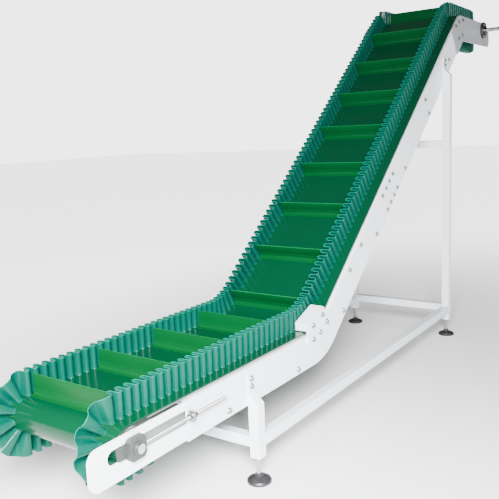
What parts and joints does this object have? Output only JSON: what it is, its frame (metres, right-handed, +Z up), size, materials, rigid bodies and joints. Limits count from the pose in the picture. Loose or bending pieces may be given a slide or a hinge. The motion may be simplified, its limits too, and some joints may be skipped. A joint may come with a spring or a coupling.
{
  "type": "belt conveyor section",
  "caption": "Bend-incline belt conveyor section: low infeed, steep cleated incline between corrugated sidewalls, short level head, on legs with levelling feet.",
  "frame": {"origin": "bottom centre of the bounding box, on the floor plane the feet stand on", "axes": "+X in the carrying direction from tail to head, +Y to the left of it, +Z up; the drive shaft end is on the -Y side"},
  "size_m": [4.3446, 0.8949, 2.342],
  "materials": {
    "belt": "satin green belt cover",
    "sidewall": "satin teal-green",
    "cleat": "satin green",
    "white_paint": "semi-gloss white powder coat",
    "grey_plate": "satin grey",
    "galvanised": "galvanised sheet",
    "black_polymer": "matte black",
    "black_foot": "black moulded foot",
    "black_cast": "black painted casting",
    "grey_cast": "grey casting",
    "bright_steel": "turned bright steel",
    "zinc": "zinc plated",
    "drum_steel": "turned steel tube"
  },
  "bodies": {
    "frame": {"belt_base": "belt", "sidewall_right": "sidewall", "sidewall_left": "sidewall", "cleats": "cleat", "side_frame_lower_right": "white_paint", "side_frame_lower_left": "white_paint", "side_frame_upper_right": "white_paint", "side_frame_upper_left": "white_paint", "head_plate_right": "grey_plate", "head_plate_left": "grey_plate", "tail_plate_right": "white_paint", "tail_plate_left": "white_paint", "splice_plates": "galvanised", "cross_members": "white_paint", "bed_infeed": "galvanised", "bed_incline": "galvanised", "bed_head": "galvanised", "bed_stringers": "galvanised", "return_rail_right": "galvanised", "return_rail_left": "galvanised", "leg_front_right": "white_paint", "leg_front_left": "white_paint", "leg_rear_right": "white_paint", "leg_rear_left": "white_paint", "leg_tongues": "white_paint", "cross_tube_front": "white_paint", "cross_tube_rear_low": "white_paint", "cross_tube_rear_mid": "white_paint", "side_brace_right": "white_paint", "side_brace_left": "white_paint", "bend_bracket_right": "white_paint", "bend_bracket_left": "white_paint", "wheel_guard_right": "white_paint", "wheel_guard_left": "white_paint", "wheel_axles": "bright_steel", "head_bearing_right": "black_cast", "head_bearing_left": "black_cast", "roller_hangers": "grey_cast", "takeup_lugs": "zinc", "bolts_frame": "zinc", "bolts_legs": "zinc"},
    "tail_drum": {"tail_drum": "drum_steel", "tail_shaft": "bright_steel"},
    "takeup": {"takeup_block_right": "grey_cast", "takeup_block_left": "grey_cast", "takeup_rods": "zinc"},
    "head_drum": {"head_drum": "drum_steel", "drive_shaft": "bright_steel"},
    "knuckle_roller": {"knuckle_roller": "drum_steel"},
    "return_bend_roller": {"return_bend_roller": "drum_steel"},
    "hold_wheel_right_a": {"hold_wheel_right_a": "black_polymer"},
    "hold_wheel_right_b": {"hold_wheel_right_b": "black_polymer"},
    "hold_wheel_left_a": {"hold_wheel_left_a": "black_polymer"},
    "hold_wheel_left_b": {"hold_wheel_left_b": "black_polymer"},
    "return_wheel_right": {"return_wheel_right": "black_polymer"},
    "return_wheel_left": {"return_wheel_left": "black_polymer"},
    "foot_front_right": {"foot_front_right": "black_foot"},
    "foot_front_left": {"foot_front_left": "black_foot"},
    "foot_rear_right": {"foot_rear_right": "black_foot"},
    "foot_rear_left": {"foot_rear_left": "black_foot"}
  },
  "joints": [
    {"name": "head_drum_spin", "type": "hinge", "parent": "frame", "child": "head_drum", "pos_m": [1.99935, 0.03415, 2.1837], "axis": [0, 1, 0], "continuous": true},
    {"name": "takeup_slide", "type": "slide", "parent": "frame", "child": "takeup", "axis": [1, 0, 0], "range_m": [0, 0.06]},
    {"name": "tail_drum_spin", "type": "hinge", "parent": "takeup", "child": "tail_drum", "pos_m": [-1.96635, 0.03415, 0.4602], "axis": [0, 1, 0], "continuous": true},
    {"name": "knuckle_roller_spin", "type": "hinge", "parent": "frame", "child": "knuckle_roller", "pos_m": [1.47263, 0.03415, 2.1932], "axis": [0, 1, 0], "continuous": true},
    {"name": "return_bend_roller_spin", "type": "hinge", "parent": "frame", "child": "return_bend_roller", "pos_m": [-0.63659, 0.03415, 0.4718], "axis": [0, 1, 0], "continuous": true},
    {"name": "hold_wheel_right_a_spin", "type": "hinge", "parent": "frame", "child": "hold_wheel_right_a", "pos_m": [-0.71923, -0.25885, 0.55702], "axis": [0, 1, 0], "continuous": true},
    {"name": "hold_wheel_right_b_spin", "type": "hinge", "parent": "frame", "child": "hold_wheel_right_b", "pos_m": [-0.626, -0.25885, 0.59003], "axis": [0, 1, 0], "continuous": true},
    {"name": "hold_wheel_left_a_spin", "type": "hinge", "parent": "frame", "child": "hold_wheel_left_a", "pos_m": [-0.71923, 0.32715, 0.55702], "axis": [0, 1, 0], "continuous": true},
    {"name": "hold_wheel_left_b_spin", "type": "hinge", "parent": "frame", "child": "hold_wheel_left_b", "pos_m": [-0.626, 0.32715, 0.59003], "axis": [0, 1, 0], "continuous": true},
    {"name": "return_wheel_right_spin", "type": "hinge", "parent": "frame", "child": "return_wheel_right", "pos_m": [1.49774, -0.25885, 2.08371], "axis": [0, 1, 0], "continuous": true},
    {"name": "return_wheel_left_spin", "type": "hinge", "parent": "frame", "child": "return_wheel_left", "pos_m": [1.49774, 0.32715, 2.08371], "axis": [0, 1, 0], "continuous": true},
    {"name": "foot_front_right_level", "type": "slide", "parent": "frame", "child": "foot_front_right", "axis": [0, 0, 1], "range_m": [-0.03, 0.03]},
    {"name": "foot_front_left_level", "type": "slide", "parent": "frame", "child": "foot_front_left", "axis": [0, 0, 1], "range_m": [-0.03, 0.03]},
    {"name": "foot_rear_right_level", "type": "slide", "parent": "frame", "child": "foot_rear_right", "axis": [0, 0, 1], "range_m": [-0.03, 0.03]},
    {"name": "foot_rear_left_level", "type": "slide", "parent": "frame", "child": "foot_rear_left", "axis": [0, 0, 1], "range_m": [-0.03, 0.03]}
  ],
  "couplings": [
    {"joint": "tail_drum_spin", "follows": "head_drum_spin", "ratio": 0.81203},
    {"joint": "knuckle_roller_spin", "follows": "head_drum_spin", "ratio": 1.2135},
    {"joint": "return_bend_roller_spin", "follows": "head_drum_spin", "ratio": 1.2135},
    {"joint": "hold_wheel_right_a_spin", "follows": "head_drum_spin", "ratio": -2.8421},
    {"joint": "hold_wheel_right_b_spin", "follows": "head_drum_spin", "ratio": -2.8421},
    {"joint": "hold_wheel_left_a_spin", "follows": "head_drum_spin", "ratio": -2.8421},
    {"joint": "hold_wheel_left_b_spin", "follows": "head_drum_spin", "ratio": -2.8421},
    {"joint": "return_wheel_right_spin", "follows": "head_drum_spin", "ratio": -1.6875},
    {"joint": "return_wheel_left_spin", "follows": "head_drum_spin", "ratio": -1.6875}
  ]
}
